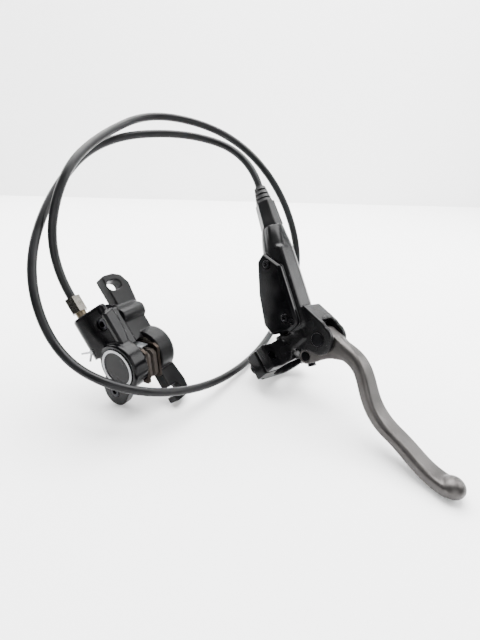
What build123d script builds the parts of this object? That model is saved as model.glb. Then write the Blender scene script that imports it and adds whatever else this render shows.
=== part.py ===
"""Hydraulic disc brake for a bicycle: brake lever, hose and post mount caliper, as they stand on a table."""
from build123d import *
from math import cos, pi, radians, sin, tan
import os

os.makedirs("parts", exist_ok=True)

# Where the two units stand in the shared frame, in millimetres, with the floor at Z = 0.
# The lever stands on a corner of its clamp and on the tip of its blade, the caliper on its
# bleed boss and on its lower ear, and the hose behind them rests on its lowest run.
lever_x = 27.27
lever_y = 21.83
lever_z = 17.72
units_apart = 98.33
caliper_y = 2.41
caliper_z = 35.11
lever_origin = Vector(lever_x, lever_y, lever_z)
lever_along_bar = Vector(0.4333, -0.7188, -0.5436)
lever_up = Vector(-0.7610, -0.6150, 0.2066)
caliper_origin = Vector(lever_x - units_apart, caliper_y, caliper_z)
caliper_piston_way = Vector(-0.524, -0.847, 0.084)
caliper_bolt_way = Vector(0.684, -0.360, 0.634)

# Fits
running_gap = 0.05
loose_gap = 0.3

# Handlebar clamp, around the lever's own X axis
bar_r = 11.1
clamp_wall = 4.4
clamp_width = 16.4
clamp_centre_x = 1.4
clamp_edge = 3.5
clamp_split_gap = 1.0
bar_relief = 1.6
clamp_lug_depth = 8.0
clamp_bolt_r = 2.5
clamp_bolt_head_r = 4.2
clamp_bolt_head_h = 4.0
hinge_pin_r = 1.5
hinge_wall = 1.9
hinge_middle_width = 6.0

# Master cylinder, along its own axis, which leaves the bar at an angle
cylinder_angle = 16.1
cylinder_offset_y = 25.7
master_bore_r = 5.0
cylinder_wall = 4.3
cylinder_mouth = 2.0
master_bore_depth = 50.0
neck_start = 58.0
neck_end = 75.0
neck_r = 7.3
shoulder_rise = 4.6
port_r = 1.6
hose_bolt_r = 4.0
hose_bolt_socket = 13.0

# Reservoir and its lid, on top of the cylinder
reservoir_floor_z = -2.0
reservoir_top_z = 10.0
reservoir_wall = 2.2
diaphragm_t = 1.0
lid_t = 3.4
lid_screw_spots = ((49.6, 1.8), (13.0, 0.4))
lid_screw_r = 1.25
lid_screw_head_r = 2.6
lid_screw_head_h = 1.6
lid_screw_depth = 4.0
lever_bleed_spot = (8.9, -4.0)
lever_bleed_r = 1.6

# Blade and its pivot
pivot_x = 9.3
pivot_y = 37.5
pivot_pin_r = 2.5
bush_wall = 0.9
ear_r = 9.6
ear_gap = 10.0
ear_t = 3.3
blade_root_r = 7.0
blade_root_t = ear_gap - 2 * loose_gap
barrel_along = -13.0
barrel_below = 2.0
barrel_r = 3.0
barrel_arm_r = 5.0
arm_slot_width = 6.2

# Master piston, push rod and spring
piston_head_at = 12.0
piston_length = 22.0
cup_t = 1.6
cup_groove_r = 3.4
push_rod_r = 2.0
push_rod_ball_r = 2.6
ball_seat_gap = 0.35
adjuster_r = 2.3
adjuster_length = 4.0
spring_wire_r = 0.5
spring_turns = 6
retaining_ring_t = 1.0

# Hose and what holds its lever end
hose_d = 5.0
sleeve_start = neck_end
sleeve_length = 17.5
sleeve_root_r = 6.9
sleeve_end_r = 6.0
boot_length = 13.0
boot_ribs = 4
boot_rib_depth = 1.1

# Caliper: X is the way of the pistons, towards the hose side, with the rotor's plane at X = 0
ear_hole_spacing = 74.0
ear_centre_x = -9.0
ear_near_x = -3.5
ear_far_x = -20.0
mount_ear_t = 8.0
ear_end_reach = 7.2
slot_width = 6.5
slot_length = 10.0
axle_y = 70.0
axle_z = -36.6
rotor_room_r = 82.5
rotor_room_half = 1.6
piston_y = 8.5
piston_z = 3.5
caliper_piston_r = 11.0
caliper_piston_length = 7.5
caliper_piston_hollow_r = 8.0
housing_r = 14.5
housing_start = 6.0
housing_face = 16.0
mount_housing_face = 18.5
cap_thread_r = 11.6
cap_start = 13.6
cap_t = 1.6
cap_ring_r = 10.0
cap_ring_top = 16.6
lining_face = 1.1
lining_t = 2.8
plate_t = 1.9
pad_half_width = 13.0
pad_top = 9.5
pad_bottom = -12.0
lining_top = 6.4
tab_reach = 21.0
tab_low = 3.4
tab_high = 10.1
pad_gap = 0.4
pad_pin_along = -18.0
pad_pin_up = 7.0
split_pin_r = 1.4
block_top_y = -28.0
block_low_z = -12.0
block_high_z = 11.0
block_face = 12.5
block_edge = 1.2
land_z = 14.0
mount_block_top_y = -26.0
mount_block_low_z = -11.0
mount_block_high_z = 10.0
mount_block_face = 16.0
hose_port_x = 11.0
hose_port_z = -7.0
hose_port_r = 6.3
hose_port_drill_r = 1.3
body_bolt_r = 2.5
body_bolt_head_r = 3.2
body_bolt_head_h = 4.5
body_bolt_spot = (-17.5, 7.5)
body_bolt_boss_r = 5.2
body_bolt_end = 17.0
rear_bolt_spot = (-21.5, -5.5)
rear_bolt_end = 6.5
passage_spot = (-11.5, 0.5)
passage_r = 1.0
riser_r = 1.15
feed_r = 0.8
bleed_spot = (20.0, -17.0)
bleed_boss_r = 9.5
bleed_boss_face = 12.0
bleed_plug_r = 3.4
bleed_plug_length = 6.0
seal_at = 8.0
seal_t = 2.0
seal_depth = 1.8
ring_seal_r = 3.0
ring_seal_t = 1.2
pad_spring_t = 0.4
pad_spring_half = 2.8
nut_across_flats = 8.5
nut_neck_length = 3.4
nut_neck_r = 3.0
nut_length = 9.4

# Places worked out from the sizes above
lever_place = Plane(lever_origin, x_dir=lever_along_bar, z_dir=lever_up)
caliper_place = Plane(caliper_origin, x_dir=caliper_piston_way, z_dir=caliper_bolt_way)
cylinder_way = Vector(-cos(radians(cylinder_angle)), sin(radians(cylinder_angle)), 0)
cylinder_root = Vector(0, cylinder_offset_y, 0)
cylinder_plan = Plane(cylinder_root, x_dir=cylinder_way, z_dir=(0, 0, 1))
cylinder_axis = Plane(cylinder_root, x_dir=(0, 0, 1), z_dir=cylinder_way)
cylinder_r = master_bore_r + cylinder_wall
clamp_r = bar_r + clamp_wall
clamp_start = clamp_centre_x - clamp_width / 2
clamp_end = clamp_centre_x + clamp_width / 2
hinge_z = -(clamp_r + hinge_pin_r + 0.4)
clamp_bolt_z = clamp_r + clamp_bolt_r - 0.6
ear_outer = ear_gap / 2 + ear_t
pivot = Vector(pivot_x, pivot_y, 0)
barrel = cylinder_plan.from_local_coords(Vector(barrel_along, barrel_below, 0))
plate_back = lining_face + lining_t + plate_t
radial_out = Vector(0, piston_y - axle_y, piston_z - axle_z).normalized()
along_rotor = radial_out.cross(Vector(1, 0, 0))
pad_plane = Plane((0, piston_y, piston_z), x_dir=along_rotor, z_dir=(1, 0, 0))
pad_pin = pad_plane.from_local_coords(Vector(pad_pin_along, pad_pin_up, 0))


def across(plane_x):
    """Plane across the caliper's piston way, with local X along the ears and Y along the bolts."""
    return Plane.YZ.offset(plane_x)


def along_cylinder(distance):
    """Plane across the master cylinder, at a distance from its root."""
    return cylinder_axis.offset(distance)


# Lever body: cylinder, neck, reservoir, pivot ears and the fixed half of the clamp
lid_outline = ((58, 2.5), (54.5, 9.5), (34, 16.8), (14, 20.0), (6, 16.0), (4, 1.0), (7, -7.5), (45, -7.5))
reservoir_side = -cylinder_r
reservoir_outline = (*lid_outline[:6], (5, reservoir_side), (60, reservoir_side))

arm_outline = (
    (clamp_start + 0.2, 1.0),
    (-8.8, 8.0),
    (-9.2, 11.6),
    (-3.4, 24.0),
    (-3.2, 30.5),
    (4.0, 30.5),
    (4.2, 17.8),
    (clamp_end - 0.2, 12.0),
    (clamp_end - 0.2, 1.0),
)

with BuildPart() as lever_body:
    with BuildSketch(along_cylinder(cylinder_mouth)):
        Circle(cylinder_r)
    extrude(amount=neck_start - cylinder_mouth)
    with BuildSketch(along_cylinder(neck_start)):
        Circle(cylinder_r)
    with BuildSketch(along_cylinder(neck_end)):
        Circle(neck_r)
    loft()
    with BuildSketch(cylinder_plan.offset(reservoir_floor_z)):
        Polygon(*reservoir_outline, align=None)
        fillet(vertices(), 3.0)
    extrude(amount=reservoir_top_z - reservoir_floor_z - shoulder_rise / 2)
    with BuildSketch(cylinder_plan.offset(reservoir_top_z - shoulder_rise / 2)):
        Polygon(*reservoir_outline, align=None)
        fillet(vertices(), 3.0)
    extrude(amount=shoulder_rise / 2, taper=20)
    with BuildSketch(along_cylinder(neck_end)):
        Circle(neck_r)
    with BuildSketch(along_cylinder(neck_start + 4)):
        with Locations((shoulder_rise * 0.55, 0)):
            Circle(cylinder_r - 0.5)
    with BuildSketch(along_cylinder(neck_start - 12)):
        with Locations((shoulder_rise, 0)):
            Circle(cylinder_r - 0.3)
    loft()
    with BuildSketch(cylinder_plan.offset(reservoir_top_z)):
        Polygon(*lid_outline, align=None)
        fillet(vertices(), 3.0)
        offset(amount=0.1)
    extrude(amount=cylinder_r, mode=Mode.SUBTRACT)
    with BuildSketch(Plane.XY.offset(-ear_outer)):
        with BuildLine():
            Polyline((-14, 26), (-13, 41.5), (3, 46.4), (12, 46.5), (18, 40), (16, 32))
            Polyline((16, 32), (10, 25), (4.2, 17.8), (-6, 20), (-14, 26))
        make_face()
    extrude(amount=2 * ear_outer)
    with BuildSketch(Plane.XY.offset(-ear_outer)):
        with Locations(pivot):
            Circle(ear_r)
    extrude(amount=2 * ear_outer)
    with BuildSketch(Plane.XY.offset(-8)):
        Polygon(*arm_outline, align=None)
    extrude(amount=17)
    with BuildSketch(Plane.XY.offset(9)):
        Polygon(*arm_outline, align=None)
    extrude(amount=3.2, taper=30)
    with BuildSketch(Plane.YZ.offset(clamp_start)):
        Circle(bar_r + bar_relief)
    extrude(amount=-60, mode=Mode.SUBTRACT)
    with BuildSketch(Plane.YZ.offset(clamp_start)):
        Circle(clamp_r)
        with Locations((clamp_lug_depth / 2, clamp_bolt_z)):
            Rectangle(clamp_lug_depth, 2 * (clamp_bolt_r + 2.2))
        with Locations((-clamp_r, 0)):
            Rectangle(2 * clamp_r + clamp_split_gap, 5 * clamp_r, mode=Mode.SUBTRACT)
        with Locations((0, hinge_z)):
            Circle(hinge_pin_r + hinge_wall)
    extrude(amount=clamp_width)
    with BuildSketch(Plane.YZ.offset(clamp_centre_x - hinge_middle_width / 2 - 0.1)):
        with Locations((0, hinge_z)):
            Circle(hinge_pin_r + hinge_wall + loose_gap)
    extrude(amount=hinge_middle_width + 0.2, mode=Mode.SUBTRACT)
    with BuildSketch(Plane.YZ.offset(clamp_start - 20)):
        Circle(bar_r)
    extrude(amount=clamp_width + 60, mode=Mode.SUBTRACT)
    with BuildSketch(Plane.YZ.offset(clamp_start)):
        with Locations((0, hinge_z)):
            Circle(hinge_pin_r)
    extrude(amount=clamp_width, mode=Mode.SUBTRACT)
    with BuildSketch(Plane.XZ):
        with Locations((clamp_centre_x, clamp_bolt_z)):
            Circle(clamp_bolt_r)
    extrude(amount=-clamp_lug_depth, mode=Mode.SUBTRACT)
    with BuildSketch(Plane.XY.offset(-ear_gap / 2)):
        with BuildLine():
            Polyline((0.5, 48), (0.5, 33), (-0.5, 14), (26, 8), (30, 48), (0.5, 48))
        make_face()
        with Locations(pivot):
            Circle(blade_root_r + 1.6)
    extrude(amount=ear_gap, mode=Mode.SUBTRACT)
    with BuildSketch(Plane.XY.offset(-ear_outer)):
        with Locations(pivot):
            Circle(pivot_pin_r)
    extrude(amount=2 * ear_outer, mode=Mode.SUBTRACT)
    with BuildSketch(along_cylinder(-8)):
        Circle(master_bore_r)
    extrude(amount=master_bore_depth + 8, mode=Mode.SUBTRACT)
    with BuildSketch(along_cylinder(cylinder_mouth + 1.2)):
        Circle(master_bore_r + 1.0)
    extrude(amount=retaining_ring_t, mode=Mode.SUBTRACT)
    with BuildSketch(along_cylinder(master_bore_depth)):
        Circle(port_r)
    extrude(amount=neck_end - master_bore_depth, mode=Mode.SUBTRACT)
    with BuildSketch(along_cylinder(neck_end - hose_bolt_socket)):
        Circle(hose_bolt_r)
    extrude(amount=hose_bolt_socket, mode=Mode.SUBTRACT)
    with BuildSketch(cylinder_plan.offset(reservoir_top_z)) as cavity:
        Polygon(*lid_outline, align=None)
        fillet(vertices(), 3.0)
        offset(amount=-reservoir_wall, mode=Mode.REPLACE)
        with Locations(*lid_screw_spots):
            Circle(lid_screw_r + 2.0, mode=Mode.SUBTRACT)
    extrude(amount=-(reservoir_top_z - cylinder_r + 2.0), mode=Mode.SUBTRACT)
    with BuildSketch(cylinder_plan.offset(reservoir_top_z)):
        with Locations(*lid_screw_spots):
            Circle(lid_screw_r)
    extrude(amount=-lid_screw_depth, mode=Mode.SUBTRACT)

lever_body.part.locate(lever_place.location)
lever_body.part.label = "lever_body"
export_step(lever_body.part, "parts/lever_body.step")

# Clamp cap: the rear half of the clamp, hinged on a pin and closed by one bolt
with BuildPart() as clamp_cap:
    with BuildSketch(Plane.YZ.offset(clamp_start)):
        Circle(clamp_r)
        with Locations((-clamp_lug_depth / 2 - 1, clamp_bolt_z)):
            Rectangle(clamp_lug_depth + 2, 2 * (clamp_bolt_r + 2.2))
        with Locations((-clamp_r * 0.72, clamp_r * 0.5)):
            Rectangle(clamp_r * 0.72, clamp_r)
        with Locations((clamp_r, 0)):
            Rectangle(2 * clamp_r + clamp_split_gap, 5 * clamp_r, mode=Mode.SUBTRACT)
        Circle(bar_r, mode=Mode.SUBTRACT)
    extrude(amount=clamp_width)
    with BuildSketch(Plane.XY.offset(-clamp_r)):
        Polygon(
            (clamp_end, -1.08 * clamp_r + clamp_edge),
            (clamp_end - clamp_edge, -1.08 * clamp_r),
            (clamp_end + 2, -1.08 * clamp_r - 2),
            align=None,
        )
    extrude(amount=3 * clamp_r, mode=Mode.SUBTRACT)
    with BuildSketch(Plane.YZ.offset(clamp_start)):
        with Locations((0, hinge_z)):
            Circle(hinge_pin_r + hinge_wall + loose_gap)
    extrude(amount=clamp_width, mode=Mode.SUBTRACT)
    with BuildSketch(Plane.YZ.offset(clamp_centre_x - hinge_middle_width / 2)):
        with Locations((0, hinge_z)):
            Circle(hinge_pin_r + hinge_wall)
            Circle(hinge_pin_r, mode=Mode.SUBTRACT)
        with Locations((-clamp_lug_depth / 2 - 1, hinge_z + hinge_wall)):
            Rectangle(clamp_lug_depth - 2, 2 * hinge_wall)
        Circle(bar_r, mode=Mode.SUBTRACT)
    extrude(amount=hinge_middle_width)
    with BuildSketch(Plane.XZ.offset(clamp_split_gap / 2)):
        with Locations((clamp_centre_x, clamp_bolt_z)):
            Circle(clamp_bolt_r + loose_gap)
    extrude(amount=2 * clamp_r, mode=Mode.SUBTRACT)
    with BuildSketch(Plane.XZ.offset(clamp_lug_depth)):
        with Locations((clamp_centre_x, clamp_bolt_z)):
            Circle(clamp_bolt_head_r + loose_gap)
    extrude(amount=2 * clamp_r, mode=Mode.SUBTRACT)

clamp_cap.part.locate(lever_place.location)
clamp_cap.part.label = "clamp_cap"
export_step(clamp_cap.part, "parts/clamp_cap.step")

with BuildPart() as clamp_hinge_pin:
    with BuildSketch(Plane.YZ.offset(clamp_start)):
        with Locations((0, hinge_z)):
            Circle(hinge_pin_r)
    extrude(amount=clamp_width)

clamp_hinge_pin.part.locate(lever_place.location)
clamp_hinge_pin.part.label = "clamp_hinge_pin"
export_step(clamp_hinge_pin.part, "parts/clamp_hinge_pin.step")

with BuildPart() as clamp_bolt:
    with BuildSketch(Plane.XZ.offset(clamp_lug_depth)):
        with Locations((clamp_centre_x, clamp_bolt_z)):
            Circle(clamp_bolt_head_r)
            RegularPolygon(clamp_bolt_r, 6, mode=Mode.SUBTRACT)
    extrude(amount=clamp_bolt_head_h)
    with BuildSketch(Plane.XZ.offset(clamp_lug_depth)):
        with Locations((clamp_centre_x, clamp_bolt_z)):
            Circle(clamp_bolt_head_r)
    extrude(amount=clamp_bolt_head_h * 0.4)
    with BuildSketch(Plane.XZ.offset(clamp_lug_depth)):
        with Locations((clamp_centre_x, clamp_bolt_z)):
            Circle(clamp_bolt_r)
    extrude(amount=-2 * clamp_lug_depth)

clamp_bolt.part.locate(lever_place.location)
clamp_bolt.part.label = "clamp_bolt"
export_step(clamp_bolt.part, "parts/clamp_bolt.step")

# Reservoir: rubber diaphragm, lid, its two screws and the bleed screw
with BuildPart() as reservoir_diaphragm:
    with BuildSketch(cylinder_plan.offset(reservoir_top_z)):
        Polygon(*lid_outline, align=None)
        fillet(vertices(), 3.0)
        with Locations(*lid_screw_spots):
            Circle(lid_screw_r + loose_gap, mode=Mode.SUBTRACT)
    extrude(amount=diaphragm_t)

reservoir_diaphragm.part.locate(lever_place.location)
reservoir_diaphragm.part.label = "reservoir_diaphragm"
export_step(reservoir_diaphragm.part, "parts/reservoir_diaphragm.step")

lid_base_z = reservoir_top_z + diaphragm_t
with BuildPart() as reservoir_lid:
    with BuildSketch(cylinder_plan.offset(lid_base_z)):
        Polygon(*lid_outline, align=None)
        fillet(vertices(), 3.0)
    extrude(amount=lid_t)
    chamfer(faces().sort_by(Axis.Z)[-1].edges(), 1.4)
    with BuildSketch(cylinder_plan.offset(lid_base_z)):
        with Locations(*lid_screw_spots):
            Circle(lid_screw_r + loose_gap)
    extrude(amount=lid_t, mode=Mode.SUBTRACT)
    with BuildSketch(cylinder_plan.offset(lid_base_z + lid_t)):
        with Locations(*lid_screw_spots):
            Circle(lid_screw_head_r + loose_gap)
    extrude(amount=-lid_screw_head_h * 0.5, mode=Mode.SUBTRACT)
    with BuildSketch(cylinder_plan.offset(lid_base_z)):
        with Locations(lever_bleed_spot):
            Circle(lever_bleed_r)
    extrude(amount=lid_t, mode=Mode.SUBTRACT)

reservoir_lid.part.locate(lever_place.location)
reservoir_lid.part.label = "reservoir_lid"
export_step(reservoir_lid.part, "parts/reservoir_lid.step")

with BuildPart() as lid_screws:
    with BuildSketch(cylinder_plan.offset(lid_base_z + lid_t - lid_screw_head_h * 0.5)):
        with Locations(*lid_screw_spots):
            Circle(lid_screw_head_r)
    extrude(amount=lid_screw_head_h)
    fillet(faces().sort_by(Axis.Z)[-1].edges() + faces().sort_by(Axis.Z)[-2].edges(), 0.5)
    with BuildSketch(cylinder_plan.offset(lid_base_z + lid_t + lid_screw_head_h * 0.5)):
        with Locations(*lid_screw_spots):
            Rectangle(2.6, 0.7)
            Rectangle(0.7, 2.6)
    extrude(amount=-0.9, mode=Mode.SUBTRACT)
    with BuildSketch(cylinder_plan.offset(lid_base_z + lid_t - lid_screw_head_h * 0.5)):
        with Locations(*lid_screw_spots):
            Circle(lid_screw_r)
    extrude(amount=-(lid_t + diaphragm_t + lid_screw_depth - lid_screw_head_h * 0.5 - 0.5))

lid_screws.part.locate(lever_place.location)
lid_screws.part.label = "lid_screws"
export_step(lid_screws.part, "parts/lid_screws.step")

with BuildPart() as lever_bleed_screw:
    with BuildSketch(cylinder_plan.offset(lid_base_z)):
        with Locations(lever_bleed_spot):
            Circle(lever_bleed_r)
    extrude(amount=lid_t)
    with BuildSketch(cylinder_plan.offset(lid_base_z + lid_t)):
        with Locations(lever_bleed_spot):
            Circle(lever_bleed_r + 0.6)
            RegularPolygon(0.9, 6, mode=Mode.SUBTRACT)
    extrude(amount=0.8)

lever_bleed_screw.part.locate(lever_place.location)
lever_bleed_screw.part.label = "lever_bleed_screw"
export_step(lever_bleed_screw.part, "parts/lever_bleed_screw.step")

# Blade: a root between the ears, an arm for the push rod's barrel and a lofted finger blade
blade_spine = (
    (17.5, 42.0), (27.5, 46.6), (38.5, 47.2), (48.5, 43.6), (58.5, 41.0), (69.5, 41.6),
    (81.5, 45.0), (92.5, 47.5), (101.5, 51.3), (107.5, 55.2), (111.0, 57.6),
)
blade_thick = (13.0, 9.4, 7.2, 6.8, 6.8, 6.6, 6.3, 6.2, 6.4, 6.2, 3.6)
blade_wide = (9.2, 10.6, 12.2, 13.0, 13.2, 13.2, 13.2, 13.2, 13.4, 12.6, 8.4)
blade_corner = 0.34
blade_corner_limit = 0.49

with BuildPart() as lever_blade:
    with BuildLine():
        spine_line = Spline(*blade_spine)
    for spot, thick, wide in zip(blade_spine, blade_thick, blade_wide):
        share = spine_line.param_at_point(Vector(*spot))
        station = Plane(spine_line.position_at(share), x_dir=(0, 0, 1), z_dir=spine_line.tangent_at(share))
        with BuildSketch(station):
            RectangleRounded(wide, thick, min(blade_corner * thick, blade_corner_limit * wide))
    loft()
    with BuildSketch(Plane.XY.offset(-blade_root_t / 2)):
        with BuildLine():
            Polyline((6, 43.4), (13, 46.2), (19, 47.6), (26, 45.5), (26.5, 41.2), (22.7, 36.3), (20.2, 31))
            Polyline((20.2, 31), (18.8, 24.6), (16.4, 18.4), (barrel.X, barrel.Y), (6, 31), (6, 43.4))
        make_face()
        with Locations(pivot):
            Circle(blade_root_r)
    extrude(amount=blade_root_t)
    with BuildSketch(Plane.XY.offset(-blade_root_t / 2)):
        with BuildLine():
            Line(pivot + (blade_root_r * 0.7, 0, 0), barrel + (barrel_arm_r * 0.9, 1.5, 0))
            Line(barrel + (barrel_arm_r * 0.9, 1.5, 0), barrel + (-barrel_arm_r * 0.9, 0.5, 0))
            Line(barrel + (-barrel_arm_r * 0.9, 0.5, 0), pivot - (blade_root_r * 0.9, 0, 0))
            Line(pivot - (blade_root_r * 0.9, 0, 0), pivot + (blade_root_r * 0.7, 0, 0))
        make_face()
        with Locations(barrel):
            Circle(barrel_arm_r)
    extrude(amount=blade_root_t)
    with BuildSketch(Plane.XY.offset(-arm_slot_width / 2)):
        with Locations(barrel):
            Circle(barrel_arm_r + 6)
    extrude(amount=arm_slot_width, mode=Mode.SUBTRACT)
    with BuildSketch(Plane.XY.offset(-ear_outer)):
        with Locations(pivot):
            Circle(pivot_pin_r + bush_wall)
        with Locations(barrel):
            Circle(barrel_r)
    extrude(amount=2 * ear_outer, mode=Mode.SUBTRACT)

lever_blade.part.locate(lever_place.location)
lever_blade.part.label = "lever_blade"
export_step(lever_blade.part, "parts/lever_blade.step")

with BuildPart() as blade_pivot_pin:
    with BuildSketch(Plane.XY.offset(-ear_outer)):
        with Locations(pivot):
            Circle(pivot_pin_r - 0.02)
    extrude(amount=2 * ear_outer)
    with BuildSketch(Plane.XY.offset(ear_outer)):
        with Locations(pivot):
            Circle(pivot_pin_r + 1.6)
    extrude(amount=1.0)
    fillet(faces().sort_by(Axis.Z)[-1].edges(), 0.5)

blade_pivot_pin.part.locate(lever_place.location)
blade_pivot_pin.part.label = "blade_pivot_pin"
export_step(blade_pivot_pin.part, "parts/blade_pivot_pin.step")

with BuildPart() as blade_bush:
    with BuildSketch(Plane.XY.offset(-blade_root_t / 2)):
        with Locations(pivot):
            Circle(pivot_pin_r + bush_wall)
            Circle(pivot_pin_r + 0.03, mode=Mode.SUBTRACT)
    extrude(amount=blade_root_t)

blade_bush.part.locate(lever_place.location)
blade_bush.part.label = "blade_bush"
export_step(blade_bush.part, "parts/blade_bush.step")

# Push rod with its reach adjuster, in a barrel carried by the blade
rod_seat = cylinder_plan.from_local_coords(Vector(piston_head_at - push_rod_ball_r, 0, 0))
rod_way = (rod_seat - barrel).normalized()
rod_length = (rod_seat - barrel).length
rod_plane = Plane(barrel, x_dir=(0, 0, 1), z_dir=rod_way)

with BuildPart() as adjuster_barrel:
    with BuildSketch(Plane.XY.offset(-blade_root_t / 2)):
        with Locations(barrel):
            Circle(barrel_r - 0.04)
    extrude(amount=blade_root_t)
    with BuildSketch(rod_plane.offset(-barrel_r)):
        Circle(push_rod_r)
    extrude(amount=2 * barrel_r, mode=Mode.SUBTRACT)

adjuster_barrel.part.locate(lever_place.location)
adjuster_barrel.part.label = "adjuster_barrel"
export_step(adjuster_barrel.part, "parts/adjuster_barrel.step")

with BuildPart() as push_rod:
    with BuildSketch(rod_plane.offset(-barrel_r - adjuster_length)):
        RegularPolygon(adjuster_r, 6, major_radius=False)
    extrude(amount=adjuster_length - 0.2)
    with BuildSketch(rod_plane.offset(-barrel_r - 1)):
        Circle(push_rod_r)
    extrude(amount=rod_length + barrel_r + 1)
    with BuildSketch(Plane(rod_seat, x_dir=rod_way, z_dir=(0, 0, 1))):
        Circle(push_rod_ball_r)
        with Locations((0, -push_rod_ball_r)):
            Rectangle(4 * push_rod_ball_r, 2 * push_rod_ball_r, mode=Mode.SUBTRACT)
    revolve(axis=Axis(rod_seat, rod_way))
    with BuildSketch(rod_plane.offset(-barrel_r - adjuster_length)):
        RegularPolygon(1.3, 6)
    extrude(amount=2.5, mode=Mode.SUBTRACT)

push_rod.part.locate(lever_place.location)
push_rod.part.label = "push_rod"
export_step(push_rod.part, "parts/push_rod.step")

# Master piston with its two cups, return spring and retaining ring
first_cup_at = piston_head_at + 4
second_cup_at = piston_head_at + piston_length - 3.5
piston_end = piston_head_at + piston_length

with BuildPart() as master_piston:
    with BuildSketch(along_cylinder(piston_head_at - 3.0)):
        Circle(master_bore_r - running_gap)
    extrude(amount=piston_length + 3.0)
    with Locations(rod_seat):
        Sphere(push_rod_ball_r + ball_seat_gap, mode=Mode.SUBTRACT)
    with BuildSketch(along_cylinder(piston_head_at - 3.0)):
        Circle(push_rod_ball_r + ball_seat_gap)
    extrude(amount=3.0 - push_rod_ball_r, mode=Mode.SUBTRACT)
    for cup_at in (first_cup_at, second_cup_at):
        with BuildSketch(along_cylinder(cup_at)):
            Circle(master_bore_r)
            Circle(cup_groove_r, mode=Mode.SUBTRACT)
        extrude(amount=cup_t, mode=Mode.SUBTRACT)
    with BuildSketch(along_cylinder(first_cup_at + cup_t + 1.5)):
        Circle(master_bore_r)
        Circle(cup_groove_r, mode=Mode.SUBTRACT)
    extrude(amount=second_cup_at - first_cup_at - cup_t - 3.0, mode=Mode.SUBTRACT)

master_piston.part.locate(lever_place.location)
master_piston.part.label = "master_piston"
export_step(master_piston.part, "parts/master_piston.step")

with BuildPart() as secondary_cup:
    with BuildSketch(along_cylinder(first_cup_at)):
        Circle(master_bore_r - 0.02)
        Circle(cup_groove_r, mode=Mode.SUBTRACT)
    extrude(amount=cup_t)

secondary_cup.part.locate(lever_place.location)
secondary_cup.part.label = "secondary_cup"
export_step(secondary_cup.part, "parts/secondary_cup.step")

with BuildPart() as primary_cup:
    with BuildSketch(along_cylinder(second_cup_at)):
        Circle(master_bore_r - 0.02)
        Circle(cup_groove_r, mode=Mode.SUBTRACT)
    extrude(amount=cup_t)

primary_cup.part.locate(lever_place.location)
primary_cup.part.label = "primary_cup"
export_step(primary_cup.part, "parts/primary_cup.step")

spring_length = master_bore_depth - piston_end
spring_r = master_bore_r - spring_wire_r - 0.4
coil_rise = spring_length - 2 * spring_wire_r
with BuildPart() as piston_spring:
    with BuildLine():
        coil = Helix(
            coil_rise / spring_turns,
            coil_rise,
            spring_r,
            center=along_cylinder(piston_end + spring_wire_r).origin,
            direction=cylinder_way,
        )
    with BuildSketch(Plane(coil @ 0, z_dir=coil % 0)):
        Circle(spring_wire_r)
    sweep(path=coil, is_frenet=True)

piston_spring.part.locate(lever_place.location)
piston_spring.part.label = "piston_spring"
export_step(piston_spring.part, "parts/piston_spring.step")

with BuildPart() as retaining_ring:
    with BuildSketch(along_cylinder(cylinder_mouth + 1.2)):
        Circle(master_bore_r + 1.0)
        Circle(master_bore_r - 1.0, mode=Mode.SUBTRACT)
    extrude(amount=retaining_ring_t)

retaining_ring.part.locate(lever_place.location)
retaining_ring.part.label = "retaining_ring"
export_step(retaining_ring.part, "parts/retaining_ring.step")

# Hose end at the lever: hollow bolt, olive and insert, under a sleeve and a ribbed boot
olive_at = neck_end - hose_bolt_socket
with BuildPart() as lever_hose_olive:
    with BuildSketch(along_cylinder(olive_at)):
        Circle(hose_bolt_r)
        Circle(hose_d / 2, mode=Mode.SUBTRACT)
    extrude(amount=3.0)

lever_hose_olive.part.locate(lever_place.location)
lever_hose_olive.part.label = "lever_hose_olive"
export_step(lever_hose_olive.part, "parts/lever_hose_olive.step")

with BuildPart() as lever_hose_bolt:
    with BuildSketch(along_cylinder(olive_at + 3.0)):
        Circle(hose_bolt_r)
        Circle(hose_d / 2, mode=Mode.SUBTRACT)
    extrude(amount=hose_bolt_socket - 3.0)
    with BuildSketch(along_cylinder(neck_end)):
        RegularPolygon(sleeve_root_r - 1.9, 6, major_radius=False)
        Circle(hose_d / 2, mode=Mode.SUBTRACT)
    extrude(amount=5.0)

lever_hose_bolt.part.locate(lever_place.location)
lever_hose_bolt.part.label = "lever_hose_bolt"
export_step(lever_hose_bolt.part, "parts/lever_hose_bolt.step")

with BuildPart() as lever_hose_insert:
    with BuildSketch(along_cylinder(olive_at)):
        Circle(hose_d / 2)
        Circle(1.0, mode=Mode.SUBTRACT)
    extrude(amount=1.0)
    with BuildSketch(along_cylinder(olive_at + 1.0)):
        Circle(1.3)
        Circle(1.0, mode=Mode.SUBTRACT)
    extrude(amount=9.0)

lever_hose_insert.part.locate(lever_place.location)
lever_hose_insert.part.label = "lever_hose_insert"
export_step(lever_hose_insert.part, "parts/lever_hose_insert.step")

with BuildPart() as hose_sleeve:
    with BuildSketch(along_cylinder(sleeve_start)):
        RegularPolygon(sleeve_root_r, 6, major_radius=False)
        fillet(vertices(), 1.4)
    with BuildSketch(along_cylinder(sleeve_start + sleeve_length)):
        RegularPolygon(sleeve_end_r, 6, major_radius=False)
        fillet(vertices(), 1.2)
    loft()
    with BuildSketch(along_cylinder(sleeve_start)):
        RegularPolygon(sleeve_root_r - 1.7, 6, major_radius=False)
    extrude(amount=5.2, mode=Mode.SUBTRACT)

hose_sleeve.part.locate(lever_place.location)
hose_sleeve.part.label = "hose_sleeve"
export_step(hose_sleeve.part, "parts/hose_sleeve.step")

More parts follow.
